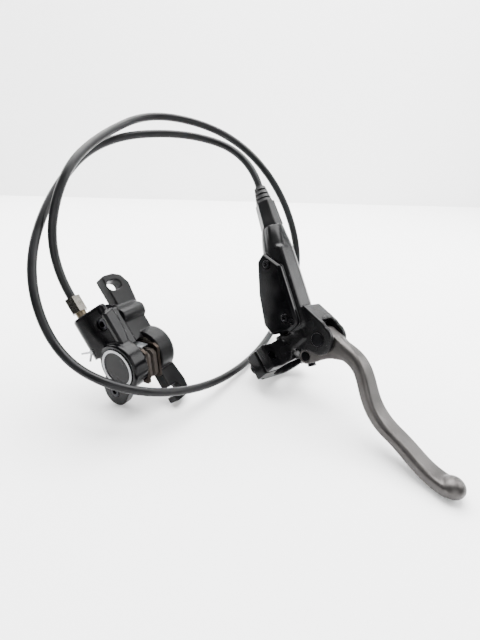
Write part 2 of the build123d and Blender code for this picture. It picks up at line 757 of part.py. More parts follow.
boot_start = sleeve_start + sleeve_length
rib_pitch = boot_length / boot_ribs
boot_root_r = sleeve_end_r - 0.2
boot_end_r = hose_d / 2 + 1.2
with BuildPart() as hose_boot:
    with BuildSketch(Plane(cylinder_root, x_dir=cylinder_way, z_dir=(0, 0, 1))):
        with BuildLine():
            Line((boot_start, 0), (boot_start, boot_root_r))
            here = (boot_start, boot_root_r)
            for rib in range(boot_ribs):
                top_r = boot_root_r + (boot_end_r - boot_root_r) * (rib + 0.5) / boot_ribs
                groove = (boot_start + rib_pitch * (rib + 0.62), top_r)
                waist = (groove[0], top_r - boot_rib_depth)
                back = (boot_start + rib_pitch * (rib + 1), top_r - boot_rib_depth)
                rise = (back[0], boot_root_r + (boot_end_r - boot_root_r) * (rib + 1) / boot_ribs)
                last = back if rib == boot_ribs - 1 else rise
                Polyline(here, groove, waist, back)
                if last is rise:
                    Line(back, rise)
                here = last
            Line(here, (here[0], 0))
            Line((here[0], 0), (boot_start, 0))
        make_face()
    revolve(axis=Axis(cylinder_root, cylinder_way))

hose_boot.part.locate(lever_place.location)
hose_boot.part.label = "hose_boot"
export_step(hose_boot.part, "parts/hose_boot.step")
boot_mouth = along_cylinder(boot_start + boot_length)

# Caliper, hose side half: cylinder, bleed boss, port and the bridge over the rotor
pocket_outline = (
    (-pad_half_width - pad_gap, -45.0),
    (-pad_half_width - pad_gap, tab_low - 1.0),
    (-tab_reach - 0.6, tab_low - 1.0),
    (-tab_reach - 0.6, tab_high + 0.5),
    (45.0, tab_high + 0.5),
    (45.0, -45.0),
)

with BuildPart() as caliper_hose_half:
    with BuildSketch(across(housing_start)):
        with Locations((piston_y, piston_z)):
            Circle(housing_r)
    extrude(amount=housing_face - housing_start)
    chamfer(faces().sort_by(Axis.X)[-1].edges(), 0.8)
    with BuildSketch(across(housing_start)):
        with Locations((piston_y, piston_z)):
            Circle(housing_r - 3.5)
        with Locations(bleed_spot):
            Circle(bleed_boss_r)
        make_hull()
    extrude(amount=bleed_boss_face - housing_start)
    with BuildSketch(across(0)):
        with BuildLine():
            Polyline(
                (block_top_y, block_low_z),
                (block_top_y, 5.0),
                (block_top_y + 5, block_high_z),
                (0.0, block_high_z),
                (8.0, 5.0),
                (2.0, block_low_z),
                (block_top_y, block_low_z),
            )
        make_face()
        fillet(vertices(), 1.6)
    extrude(amount=block_face)
    with BuildSketch(Plane.XY.offset(block_high_z - 1)):
        with BuildLine():
            Spline((5.2, -24.0), (4.6, -12.0), (6.4, -3.0), (9.5, 3.5))
            Polyline((9.5, 3.5), (12.5, 2.0), (12.5, -22.0), (5.2, -24.0))
        make_face()
    extrude(amount=land_z - block_high_z + 1)
    chamfer(faces().sort_by(Axis.Z)[-1].edges(), 0.7)
    for hull_way, hull_taper in ((block_top_y + block_edge + 2.0, 0), (block_edge, 35)):
        with BuildSketch(Plane.XZ.offset(-block_top_y - block_edge)):
            with Locations((hose_port_x, hose_port_z)):
                Circle(hose_port_r)
            with Locations((block_face - 3, land_z - 4)):
                Circle(3)
            with Locations((4, block_low_z + 3)):
                Circle(3)
            make_hull()
        extrude(amount=hull_way, taper=hull_taper)
    with BuildSketch(pad_plane.offset(-1)):
        Polygon(*pocket_outline, align=None)
    extrude(amount=housing_start + 1, mode=Mode.SUBTRACT)
    with BuildSketch(across(-1)):
        with Locations((axle_y, axle_z)):
            Circle(rotor_room_r)
    extrude(amount=rotor_room_half + 1, mode=Mode.SUBTRACT)
    with BuildSketch(across(housing_start - 1)):
        with Locations((piston_y, piston_z)):
            Circle(caliper_piston_r + running_gap)
    extrude(amount=cap_start - housing_start + 1, mode=Mode.SUBTRACT)
    with BuildSketch(across(cap_start)):
        with Locations((piston_y, piston_z)):
            Circle(cap_thread_r)
    extrude(amount=6, mode=Mode.SUBTRACT)
    with BuildSketch(across(seal_at)):
        with Locations((piston_y, piston_z)):
            Circle(caliper_piston_r + seal_depth)
    extrude(amount=seal_t, mode=Mode.SUBTRACT)
    with BuildSketch(across(-1)):
        with Locations(body_bolt_spot, rear_bolt_spot):
            Circle(body_bolt_r)
        with Locations(passage_spot):
            Circle(passage_r)
        with Locations((pad_pin.Y, pad_pin.Z)):
            Circle(split_pin_r)
    extrude(amount=rear_bolt_end + 1, mode=Mode.SUBTRACT)
    with BuildSketch(across(rear_bolt_end)):
        with Locations(body_bolt_spot):
            Circle(body_bolt_r)
        with Locations((pad_pin.Y, pad_pin.Z)):
            Circle(split_pin_r)
    extrude(amount=block_face, mode=Mode.SUBTRACT)
    with BuildSketch(across(rear_bolt_end)):
        with Locations(passage_spot):
            Circle(passage_r)
    extrude(amount=hose_port_x - rear_bolt_end, mode=Mode.SUBTRACT)
    with BuildSketch(across(block_face - body_bolt_head_h)):
        with Locations(body_bolt_spot):
            Circle(body_bolt_head_r + loose_gap)
    extrude(amount=10, mode=Mode.SUBTRACT)
    with BuildSketch(Plane.XZ.offset(-block_top_y)):
        with Locations((hose_port_x, hose_port_z)):
            Circle(hose_port_drill_r)
    extrude(amount=block_top_y - passage_spot[0] - hose_port_drill_r, mode=Mode.SUBTRACT)
    with BuildSketch(Plane.XY.offset(hose_port_z)):
        with Locations((hose_port_x, passage_spot[0])):
            Circle(riser_r)
    extrude(amount=passage_spot[1] - hose_port_z + riser_r, mode=Mode.SUBTRACT)
    with BuildSketch(Plane.XZ.offset(-passage_spot[0])):
        with Locations((hose_port_x, passage_spot[1])):
            Circle(feed_r)
    extrude(amount=passage_spot[0] - piston_y + caliper_piston_r - 3, mode=Mode.SUBTRACT)
    with BuildSketch(across(bleed_boss_face - bleed_plug_length)):
        with Locations(bleed_spot):
            Circle(bleed_plug_r)
    extrude(amount=bleed_plug_length, mode=Mode.SUBTRACT)

caliper_hose_half.part.locate(caliper_place.location)
caliper_hose_half.part.label = "caliper_hose_half"
export_step(caliper_hose_half.part, "parts/caliper_hose_half.step")

# Caliper, mount side half: cylinder with a domed end and the two slotted ears
with BuildPart() as caliper_mount_half:
    with BuildSketch(across(-housing_start)):
        with Locations((piston_y, piston_z)):
            Circle(housing_r)
    extrude(amount=housing_start - mount_housing_face)
    fillet(faces().sort_by(Axis.X)[0].edges(), 3.0)
    with BuildSketch(across(-mount_block_face)):
        with BuildLine():
            Polyline(
                (mount_block_top_y, mount_block_low_z),
                (mount_block_top_y, 6.0),
                (mount_block_top_y + 4, mount_block_high_z),
                (0.0, mount_block_high_z),
                (8.0, 5.0),
                (2.0, mount_block_low_z),
                (mount_block_top_y, mount_block_low_z),
            )
        make_face()
        fillet(vertices(), 1.6)
    extrude(amount=mount_block_face)
    with BuildSketch(across(-body_bolt_end)):
        with Locations(body_bolt_spot):
            Circle(body_bolt_boss_r)
    extrude(amount=body_bolt_end)
    with BuildSketch():
        Polygon(
            (ear_near_x, mount_block_top_y + 4),
            (ear_near_x, -ear_hole_spacing / 2 - ear_end_reach + 0.6),
            (ear_near_x - 1.5, -ear_hole_spacing / 2 - ear_end_reach),
            (ear_centre_x - 3, -ear_hole_spacing / 2 - ear_end_reach),
            (ear_far_x + 3.0, -ear_hole_spacing / 2 - 5),
            (ear_far_x, -ear_hole_spacing / 2 + 1),
            (ear_far_x + 2, mount_block_top_y + 4),
            align=None,
        )
        Polygon(
            (-rotor_room_half - 0.2, piston_y + 4),
            (-rotor_room_half - 0.2, ear_hole_spacing / 2 - 3),
            (ear_near_x, ear_hole_spacing / 2 + 6),
            (ear_near_x - 3.5, ear_hole_spacing / 2 + ear_end_reach),
            (ear_centre_x - 5, ear_hole_spacing / 2 + ear_end_reach),
            (ear_far_x + 1.0, ear_hole_spacing / 2 + 4),
            (ear_far_x, ear_hole_spacing / 2 - 2),
            (ear_far_x + 3, piston_y + 4),
            align=None,
        )
        fillet(vertices(), 1.8)
    extrude(amount=mount_ear_t)
    with BuildSketch():
        with Locations((ear_centre_x, ear_hole_spacing / 2), (ear_centre_x, -ear_hole_spacing / 2)):
            SlotOverall(slot_length, slot_width)
    extrude(amount=mount_ear_t, mode=Mode.SUBTRACT)
    with BuildSketch(pad_plane.offset(-housing_start)):
        Polygon(*pocket_outline, align=None)
    extrude(amount=housing_start + 1, mode=Mode.SUBTRACT)
    with BuildSketch(across(-rotor_room_half)):
        with Locations((axle_y, axle_z)):
            Circle(rotor_room_r)
    extrude(amount=rotor_room_half + 1, mode=Mode.SUBTRACT)
    with BuildSketch(across(-cap_start)):
        with Locations((piston_y, piston_z)):
            Circle(caliper_piston_r + running_gap)
    extrude(amount=cap_start, mode=Mode.SUBTRACT)
    with BuildSketch(across(-seal_at - seal_t)):
        with Locations((piston_y, piston_z)):
            Circle(caliper_piston_r + seal_depth)
    extrude(amount=seal_t, mode=Mode.SUBTRACT)
    with BuildSketch(across(-hose_port_x - riser_r)):
        with Locations(passage_spot):
            Circle(passage_r)
    extrude(amount=hose_port_x + riser_r, mode=Mode.SUBTRACT)
    with BuildSketch(Plane.XZ.offset(-passage_spot[0])):
        with Locations((-hose_port_x, passage_spot[1])):
            Circle(feed_r)
    extrude(amount=passage_spot[0] - piston_y + caliper_piston_r - 3, mode=Mode.SUBTRACT)
    with BuildSketch(across(-ring_seal_t)):
        with Locations(passage_spot):
            Circle(ring_seal_r)
    extrude(amount=ring_seal_t, mode=Mode.SUBTRACT)
    with BuildSketch(across(-body_bolt_end + 1.5)):
        with Locations(body_bolt_spot):
            Circle(body_bolt_r)
    extrude(amount=body_bolt_end, mode=Mode.SUBTRACT)
    with BuildSketch(across(-mount_block_face)):
        with Locations((pad_pin.Y, pad_pin.Z)):
            Circle(split_pin_r)
    extrude(amount=mount_block_face, mode=Mode.SUBTRACT)
    with BuildSketch(across(-mount_block_face)):
        with Locations(rear_bolt_spot):
            Circle(body_bolt_r)
    extrude(amount=mount_block_face, mode=Mode.SUBTRACT)
    with BuildSketch(across(-mount_block_face)):
        with Locations(rear_bolt_spot):
            Circle(body_bolt_head_r + loose_gap)
    extrude(amount=body_bolt_head_h, mode=Mode.SUBTRACT)

caliper_mount_half.part.locate(caliper_place.location)
caliper_mount_half.part.label = "caliper_mount_half"
export_step(caliper_mount_half.part, "parts/caliper_mount_half.step")

with BuildPart() as caliper_body_bolts:
    with BuildSketch(across(block_face - body_bolt_head_h)):
        with Locations(body_bolt_spot):
            Circle(body_bolt_head_r)
    extrude(amount=body_bolt_head_h)
    with BuildSketch(across(block_face)):
        with Locations(body_bolt_spot):
            RegularPolygon(2.3, 6)
    extrude(amount=-2.5, mode=Mode.SUBTRACT)
    with BuildSketch(across(-body_bolt_end + 1.5)):
        with Locations(body_bolt_spot):
            Circle(body_bolt_r)
    extrude(amount=body_bolt_end - 1.5 + block_face - body_bolt_head_h)
    with BuildSketch(across(-mount_block_face)):
        with Locations(rear_bolt_spot):
            Circle(body_bolt_head_r)
            RegularPolygon(2.3, 6, mode=Mode.SUBTRACT)
    extrude(amount=2.5)
    with BuildSketch(across(-mount_block_face + 2.5)):
        with Locations(rear_bolt_spot):
            Circle(body_bolt_head_r)
    extrude(amount=body_bolt_head_h - 2.5)
    with BuildSketch(across(-mount_block_face + body_bolt_head_h)):
        with Locations(rear_bolt_spot):
            Circle(body_bolt_r)
    extrude(amount=mount_block_face - body_bolt_head_h + rear_bolt_end)

caliper_body_bolts.part.locate(caliper_place.location)
caliper_body_bolts.part.label = "caliper_body_bolts"
export_step(caliper_body_bolts.part, "parts/caliper_body_bolts.step")

with BuildPart() as passage_o_ring:
    with BuildSketch(across(-ring_seal_t)):
        with Locations(passage_spot):
            Circle(ring_seal_r)
            Circle(ring_seal_r - ring_seal_t, mode=Mode.SUBTRACT)
    extrude(amount=ring_seal_t)

passage_o_ring.part.locate(caliper_place.location)
passage_o_ring.part.label = "passage_o_ring"
export_step(passage_o_ring.part, "parts/passage_o_ring.step")

# Pistons and their seals
with BuildPart() as piston_hose_side:
    with BuildSketch(across(plate_back)):
        with Locations((piston_y, piston_z)):
            Circle(caliper_piston_r)
    extrude(amount=caliper_piston_length)
    with BuildSketch(across(plate_back)):
        with Locations((piston_y, piston_z)):
            Circle(caliper_piston_hollow_r)
    extrude(amount=caliper_piston_length - 2.0, mode=Mode.SUBTRACT)

piston_hose_side.part.locate(caliper_place.location)
piston_hose_side.part.label = "piston_hose_side"
export_step(piston_hose_side.part, "parts/piston_hose_side.step")

with BuildPart() as piston_mount_side:
    with BuildSketch(across(-plate_back)):
        with Locations((piston_y, piston_z)):
            Circle(caliper_piston_r)
    extrude(amount=-caliper_piston_length)
    with BuildSketch(across(-plate_back)):
        with Locations((piston_y, piston_z)):
            Circle(caliper_piston_hollow_r)
    extrude(amount=2.0 - caliper_piston_length, mode=Mode.SUBTRACT)

piston_mount_side.part.locate(caliper_place.location)
piston_mount_side.part.label = "piston_mount_side"
export_step(piston_mount_side.part, "parts/piston_mount_side.step")

with BuildPart() as piston_seals:
    with BuildSketch(across(seal_at), across(-seal_at - seal_t)):
        with Locations((piston_y, piston_z)):
            Circle(caliper_piston_r + seal_depth)
            Circle(caliper_piston_r + running_gap, mode=Mode.SUBTRACT)
    extrude(amount=seal_t)

piston_seals.part.locate(caliper_place.location)
piston_seals.part.label = "piston_seals"
export_step(piston_seals.part, "parts/piston_seals.step")

# Pads: a steel plate with a tab on the split pin, and the friction lining bonded to it
plate_outline = (
    (-pad_half_width, pad_bottom),
    (pad_half_width, pad_bottom),
    (pad_half_width, pad_top - 2),
    (pad_half_width - 3, pad_top),
    (-pad_half_width + 2, pad_top),
    (-pad_half_width, tab_high),
    (-tab_reach, tab_high),
    (-tab_reach, tab_low),
    (-pad_half_width, tab_low),
)
lining_outline = (
    (-pad_half_width + 1, pad_bottom + 3),
    (-pad_half_width + 3, pad_bottom + 1),
    (pad_half_width - 3, pad_bottom + 1),
    (pad_half_width - 1, pad_bottom + 3),
    (pad_half_width - 1, lining_top - 2),
    (pad_half_width - 3, lining_top),
    (-pad_half_width + 3, lining_top),
    (-pad_half_width + 1, lining_top - 2),
)
plate_face = lining_face + lining_t

with BuildPart() as pad_plate_hose_side:
    with BuildSketch(pad_plane.offset(plate_face)):
        Polygon(*plate_outline, align=None)
        fillet(vertices(), 1.0)
        with Locations((pad_pin_along, pad_pin_up)):
            Circle(split_pin_r + loose_gap, mode=Mode.SUBTRACT)
    extrude(amount=plate_t)

pad_plate_hose_side.part.locate(caliper_place.location)
pad_plate_hose_side.part.label = "pad_plate_hose_side"
export_step(pad_plate_hose_side.part, "parts/pad_plate_hose_side.step")

with BuildPart() as pad_lining_hose_side:
    with BuildSketch(pad_plane.offset(lining_face)):
        Polygon(*lining_outline, align=None)
    extrude(amount=lining_t)

pad_lining_hose_side.part.locate(caliper_place.location)
pad_lining_hose_side.part.label = "pad_lining_hose_side"
export_step(pad_lining_hose_side.part, "parts/pad_lining_hose_side.step")

with BuildPart() as pad_plate_mount_side:
    with BuildSketch(pad_plane.offset(-plate_face)):
        Polygon(*plate_outline, align=None)
        fillet(vertices(), 1.0)
        with Locations((pad_pin_along, pad_pin_up)):
            Circle(split_pin_r + loose_gap, mode=Mode.SUBTRACT)
    extrude(amount=-plate_t)

pad_plate_mount_side.part.locate(caliper_place.location)
pad_plate_mount_side.part.label = "pad_plate_mount_side"
export_step(pad_plate_mount_side.part, "parts/pad_plate_mount_side.step")

with BuildPart() as pad_lining_mount_side:
    with BuildSketch(pad_plane.offset(-lining_face)):
        Polygon(*lining_outline, align=None)
    extrude(amount=-lining_t)

pad_lining_mount_side.part.locate(caliper_place.location)
pad_lining_mount_side.part.label = "pad_lining_mount_side"
export_step(pad_lining_mount_side.part, "parts/pad_lining_mount_side.step")

# Pad spring: one bent strip, looped on the split pin, with a leg beside each lining's outer edge
with BuildPart() as pad_spring:
    with BuildSketch(pad_plane.offset(-pad_spring_half)):
        with BuildLine():
            Polyline((pad_pin_along, 8.9), (7.0, 8.9), (7.0, 9.3), (pad_pin_along, 9.3), (pad_pin_along, 8.9))
        make_face()
    extrude(amount=2 * pad_spring_half)
    with BuildSketch(pad_plane.offset(-pad_spring_half), pad_plane.offset(pad_spring_half - pad_spring_t)):
        with BuildLine():
            Polyline(
                (pad_pin_along, 9.3), (7.0, 9.3), (7.0, 7.2), (-11.0, 7.2), (-14.0, 4.6), (-17.0, 4.4), (-20.4, 5.6),
                (-20.4, 8.0), (pad_pin_along, 9.3),
            )
        make_face()
        with Locations((pad_pin_along, pad_pin_up)):
            Circle(split_pin_r, mode=Mode.SUBTRACT)
    extrude(amount=pad_spring_t)

pad_spring.part.locate(caliper_place.location)
pad_spring.part.label = "pad_spring"
export_step(pad_spring.part, "parts/pad_spring.step")

# Split pin through both halves, with its eye on the mount side and its legs bent open
pin_tip = hose_port_x + hose_port_r + 0.8
with BuildPart() as split_pin:
    with BuildSketch(across(-mount_block_face - 0.5)):
        with Locations((pad_pin.Y, pad_pin.Z)):
            Circle(split_pin_r)
    extrude(amount=mount_block_face + 0.5 + pin_tip)
    with BuildSketch(Plane.XZ.offset(-pad_pin.Y + 0.9)):
        with Locations((-mount_block_face - 3.2, pad_pin.Z)):
            Circle(3.2)
            Circle(1.6, mode=Mode.SUBTRACT)
    extrude(amount=-1.8)
    for lean in (-0.35, 1.25):
        leg_way = Vector(0.75, lean, -0.55).normalized()
        with BuildSketch(Plane((pin_tip - 0.6, pad_pin.Y, pad_pin.Z), z_dir=leg_way)):
            Circle(0.65)
        extrude(amount=5.5)

split_pin.part.locate(caliper_place.location)
split_pin.part.label = "split_pin"
export_step(split_pin.part, "parts/split_pin.step")

# Cap over the hose side cylinder, its threaded ring and the bleed plug
with BuildPart() as bore_cap:
    with BuildSketch(across(cap_start)):
        with Locations((piston_y, piston_z)):
            Circle(cap_thread_r)
    extrude(amount=cap_t)
    with BuildSketch(across(cap_start + cap_t)):
        with Locations((piston_y, piston_z)):
            Circle(cap_ring_r)
    extrude(amount=cap_ring_top - 0.4 - cap_start - cap_t)

bore_cap.part.locate(caliper_place.location)
bore_cap.part.label = "bore_cap"
export_step(bore_cap.part, "parts/bore_cap.step")

with BuildPart() as bore_cap_ring:
    with BuildSketch(across(cap_start + cap_t)):
        with Locations((piston_y, piston_z)):
            Circle(cap_thread_r)
            Circle(cap_ring_r, mode=Mode.SUBTRACT)
    extrude(amount=cap_ring_top - cap_start - cap_t)

bore_cap_ring.part.locate(caliper_place.location)
bore_cap_ring.part.label = "bore_cap_ring"
export_step(bore_cap_ring.part, "parts/bore_cap_ring.step")

with BuildPart() as caliper_bleed_plug:
    with BuildSketch(across(bleed_boss_face - bleed_plug_length)):
        with Locations(bleed_spot):
            Circle(bleed_plug_r)
    extrude(amount=bleed_plug_length + 0.3)
    with BuildSketch(across(bleed_boss_face + 0.3)):
        with Locations(bleed_spot):
            RegularPolygon(1.7, 6)
    extrude(amount=-2.4, mode=Mode.SUBTRACT)

caliper_bleed_plug.part.locate(caliper_place.location)
caliper_bleed_plug.part.label = "caliper_bleed_plug"
export_step(caliper_bleed_plug.part, "parts/caliper_bleed_plug.step")

# Hose end at the caliper: a brass neck in the port and the hexagonal nut on it
with BuildPart() as hose_nut_neck:
    with BuildSketch(Plane.XZ.offset(-block_top_y)):
        with Locations((hose_port_x, hose_port_z)):
            Circle(nut_neck_r)
            Circle(hose_port_drill_r, mode=Mode.SUBTRACT)
    extrude(amount=nut_neck_length)

hose_nut_neck.part.locate(caliper_place.location)
hose_nut_neck.part.label = "hose_nut_neck"
export_step(hose_nut_neck.part, "parts/hose_nut_neck.step")

with BuildPart() as hose_nut:
    with BuildSketch(Plane.XZ.offset(nut_neck_length - block_top_y)):
        with Locations((hose_port_x, hose_port_z)):
            RegularPolygon(nut_across_flats / 2, 6, major_radius=False)
            Circle(hose_port_drill_r, mode=Mode.SUBTRACT)
    extrude(amount=nut_length)

hose_nut.part.locate(caliper_place.location)
hose_nut.part.label = "hose_nut"
export_step(hose_nut.part, "parts/hose_nut.step")

# Hose, from the boot's mouth round two turns of a loop to the nut: straight runs joined by tangent arcs.
# Each bend has its share of the way between the two ends, then its place from there in loop sizes,
# and its height over the floor. The two bends of no height are the run that the brake leans on.
hose_loop = 100.0
hose_first_run = 26.0
hose_last_run = 27.2
hose_bends = (
    (0.111, -0.406, 0.396, 1.463),
    (0.167, -0.882, 0.171, 1.423),
    (0.222, -1.024, -0.225, 1.130),
    (0.278, -0.993, -0.564, 0.781),
    (0.333, -0.757, -0.747, 0.392),
    (0.389, -0.290, -0.865, 0.276),
    (0.444, 0.147, -0.555, 0.078),
    (0.500, 0.519, -0.110, 0.000),
    (0.556, 0.815, 0.406, 0.000),
    (0.611, 1.061, 0.469, 0.527),
    (0.667, 0.948, 0.605, 1.089),
    (0.722, 0.629, 0.900, 1.454),
    (0.778, 0.129, 0.889, 1.585),
    (0.833, -0.093, 0.509, 1.445),
    (0.889, -0.145, 0.116, 1.256),
)
hose_start = lever_place.from_local_coords(boot_mouth.origin)
hose_start_way = (lever_place.from_local_coords(boot_mouth.origin + cylinder_way) - hose_start).normalized()
nut_face = Vector(hose_port_x, block_top_y - nut_neck_length - nut_length, hose_port_z)
hose_end = caliper_place.from_local_coords(nut_face)
hose_end_way = (caliper_place.from_local_coords(nut_face + Vector(0, -1, 0)) - hose_end).normalized()


def hose_bend(share, across_x, along_y, height):
    """Point of the hose's route, which follows both ends by its share of the way."""
    foot = hose_start + (hose_end - hose_start) * share
    return Vector(foot.X + hose_loop * across_x, foot.Y + hose_loop * along_y, hose_d / 2 + hose_loop * height)


hose_points = (
    hose_start,
    hose_start + hose_start_way * hose_first_run,
    *(hose_bend(*bend) for bend in hose_bends),
    hose_end + hose_end_way * hose_last_run,
    hose_end,
)
hose_radii = []
for before, bend, after in zip(hose_points, hose_points[1:], hose_points[2:]):
    run_in = bend - before
    run_out = after - bend
    half_turn = radians(run_in.get_angle(run_out)) / 2
    hose_radii.append(0.45 * min(run_in.length, run_out.length) / tan(half_turn))
print("hose radii", [round(r, 1) for r in hose_radii])
print("hose route", [tuple(round(c, 2) for c in point) for point in hose_points])

with BuildPart() as hose:
    with BuildLine():
        hose_path = FilletPolyline(*hose_points, radius=hose_radii)
    with BuildSketch(Plane(hose_path @ 0, z_dir=hose_path % 0)):
        Circle(hose_d / 2)
    sweep(path=hose_path)
section_times_length = pi * hose_d**2 / 4 * hose_path.length
print("hose length", round(hose_path.length, 1), "volume ratio", round(hose.part.volume / section_times_length, 4))

hose.part.label = "hose"
export_step(hose.part, "parts/hose.step")
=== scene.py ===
"""Looks for a hydraulic disc brake: painted and anodised metal, a plastic hose, a plain studio."""
from math import cos, radians, sin

import bmesh
import bpy
from bpy.props import FloatProperty, FloatVectorProperty, PointerProperty
from mathutils import Matrix, Vector


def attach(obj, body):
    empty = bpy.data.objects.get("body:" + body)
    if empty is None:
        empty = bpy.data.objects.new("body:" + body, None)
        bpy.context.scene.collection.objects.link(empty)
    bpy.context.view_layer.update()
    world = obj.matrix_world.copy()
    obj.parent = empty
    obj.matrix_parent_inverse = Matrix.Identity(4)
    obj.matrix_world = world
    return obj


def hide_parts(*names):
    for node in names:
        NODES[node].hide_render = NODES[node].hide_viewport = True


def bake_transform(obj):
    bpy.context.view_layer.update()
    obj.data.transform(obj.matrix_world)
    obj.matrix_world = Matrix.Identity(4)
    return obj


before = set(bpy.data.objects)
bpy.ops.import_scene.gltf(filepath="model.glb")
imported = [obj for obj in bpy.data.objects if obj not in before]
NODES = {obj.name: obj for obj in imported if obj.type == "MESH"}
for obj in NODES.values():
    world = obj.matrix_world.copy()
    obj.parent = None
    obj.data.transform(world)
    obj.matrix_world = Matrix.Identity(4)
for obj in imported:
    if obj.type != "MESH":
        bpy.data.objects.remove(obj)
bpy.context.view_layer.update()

bl_info = {
    "name": "Hydraulic disc brake",
    "version": (1, 0, 0),
    "blender": (4, 5, 0),
    "location": "View3D > Sidebar > Brake",
    "description": "Builds the looks of a bicycle's hydraulic disc brake around its solids",
    "category": "Object",
}

MM = 0.001

# The camera's place and turn: low in front of the brake, looking down on it
CAMERA_PLACE = Vector((-10.26, -186.19, 160.02)) * MM
CAMERA_RIGHT = Vector((0.99935, -0.02148, 0.02882))
CAMERA_FORWARD = Vector((0.03279, 0.87316, -0.48633))
CAMERA_LENS = 20.675
CAMERA_SENSOR = 36.0
CAMERA_NEAR = 10 * MM

# The floor and the backdrop, in metres: half a side of each, and how far back the backdrop stands
STAGE_HALF = 1.6
BACKDROP_PLACE = (0, 0.62, 0)
ROOM_COLOUR = "f4f6f8"
ROOM_STRENGTH = 0.22

# The lights: name, place and target in metres, side, and power as a share of the key light's
LIGHTS = (
    ("key_light", (0.05, 0.4, 0.75), (0, -0.05, 0), 0.9, 1.0),
    ("left_light", (-0.75, 0.45, 0.5), (0, 0, 0.06), 0.5, 0.22),
    ("right_light", (0.75, 0.1, 0.45), (0.03, 0, 0.06), 0.5, 0.22),
    ("front_light", (0.1, -0.9, 0.35), (0.03, 0, 0.05), 0.9, 0.2),
)

# The lever's own frame in the brake, in mm: X along the handlebar, Z out of the blade's plane
LEVER_X = Vector((0.4333, -0.7188, -0.5436)).normalized()
LEVER_UP = Vector((-0.7610, -0.6150, 0.2066))
LEVER_Z = (LEVER_UP - LEVER_X * LEVER_UP.dot(LEVER_X)).normalized()
LEVER_ORIGIN = Vector((27.27, 21.83, 17.72))
LEVER_TURN = Matrix((LEVER_X, LEVER_Z.cross(LEVER_X), LEVER_Z)).transposed()
LEVER_PLACE = Matrix.Translation(LEVER_ORIGIN) @ LEVER_TURN.to_4x4()

# The ball on the blade's end, in the lever's frame: its centre, its radii, its lean and its facets
BALL_PLACE = (105.8, 55.5, 0)
BALL_RADII = (6.0, 5.3, 6.7)
BALL_LEAN = 0.55
BALL_AROUND = 32
BALL_RINGS = 20

# Copies of castings: points of the solid's mesh closer than MERGE_MM are made one, the grid is the
# spacing of the copy's own points, and each pass rounds its edges a little more
MERGE_MM = 0.002
LID_GRID = 0.3
CALIPER_GRID = 0.45
LID_PASSES = 4
CLAMP_PASSES = 5
CALIPER_PASSES = 5
BODY_PASSES = 12
BLADE_PASSES = 12
PASS_FACTOR = 0.5

# The hose's route, from the boot's mouth to the nut, in millimetres
HOSE_ROUTE = (
    (9.88, 76.88, 117.53),
    (2.54, 92.49, 136.98),
    (-43.17, 109.22, 148.80),
    (-97.05, 83.06, 144.80),
    (-117.42, 39.87, 115.50),
    (-120.61, 2.31, 80.60),
    (-103.18, -19.59, 41.70),
    (-62.76, -35.05, 30.10),
    (-25.23, -7.64, 10.30),
    (5.69, 33.20, 2.50),
    (29.01, 81.14, 2.50),
    (47.43, 83.84, 55.20),
    (29.85, 93.78, 111.40),
    (-8.22, 119.69, 147.90),
    (-64.50, 114.93, 161.00),
    (-92.87, 73.33, 147.00),
    (-104.35, 30.37, 128.10),
    (-116.10, 22.13, 83.86),
    (-102.31, 11.52, 62.95),
)
# How smooth the hose is: its curve's order, its steps from point to point and its roundness
HOSE_ORDER = 3
HOSE_STEPS = 24
HOSE_FACETS = 6

# Noise: how rough its octaves are, how many there are in soft, fine and speckled patterns, and the
# part of its range that colours and numbers are spread over
NOISE_ROUGHNESS = 0.55
SOFT = 2.0
FINE = 3.0
SPECKLED = 4.0
COLOUR_SPAN = (0.35, 0.68)
NUMBER_SPAN = (0.3, 0.7)

# Width in millimetres of the patches in which a surface is a little lighter than beside them
PAINT_PATCH = 14.0
BLASTED_PATCH = 9.0
TURNED_PATCH = 5.0
MOULDED_PATCH = 11.0

# How far a surface's roughness goes below and above its middle
PAINT_REACH = (-0.05, 0.06)
BLASTED_REACH = (-0.06, 0.08)
TURNED_REACH = (-0.05, 0.1)
MOULDED_REACH = (-0.05, 0.07)
PAPER_ROUGHNESS = (0.7, 0.9)

# Width and depth in millimetres of the finest relief
PAPER_FIBRE = 2.5
PIT_WIDTH = 0.35
PIT_DEPTH = 0.02
TOOL_LINE_WIDTH = 0.25
TOOL_LINE_DEPTH = 0.006
SPECK_WIDTH = 0.5
SPECK_DEPTH = 0.08
LINING_ROUGHNESS = 0.92


def linear(code):
    """An sRGB hex value as the linear colour that the shader wants."""
    channels = [int(code[i:i + 2], 16) / 255 for i in (0, 2, 4)]
    curve = [c / 12.92 if c <= 0.04045 else ((c + 0.055) / 1.055) ** 2.4 for c in channels]
    return (*curve, 1.0)


def node(tree, kind, settings=None, inputs=None, links=None):
    """Adds a shader node, sets its properties and sockets, and links other nodes' outputs to it."""
    made = tree.nodes.new(kind)
    for key, value in (settings or {}).items():
        setattr(made, key, value)
    for key, value in (inputs or {}).items():
        made.inputs[key].default_value = value
    for key, output in (links or {}).items():
        tree.links.new(output, made.inputs[key])
    return made


def start_material(name):
    """A new material with only its output and its shader."""
    made = bpy.data.materials.new(name)
    made.use_nodes = True
    made.node_tree.nodes.clear()
    shader = node(made.node_tree, "ShaderNodeBsdfPrincipled")
    node(made.node_tree, "ShaderNodeOutputMaterial", links={"Surface": shader.outputs["BSDF"]})
    return made, made.node_tree, shader


def grain(tree, size_mm, detail):
    """Noise in the piece's own space, whose patches are about size_mm across."""
    place = node(tree, "ShaderNodeTexCoord").outputs["Object"]
    return node(
        tree,
        "ShaderNodeTexNoise",
        inputs={"Scale": 1.0 / (size_mm * MM), "Detail": detail, "Roughness": NOISE_ROUGHNESS},
        links={"Vector": place},
    ).outputs["Fac"]


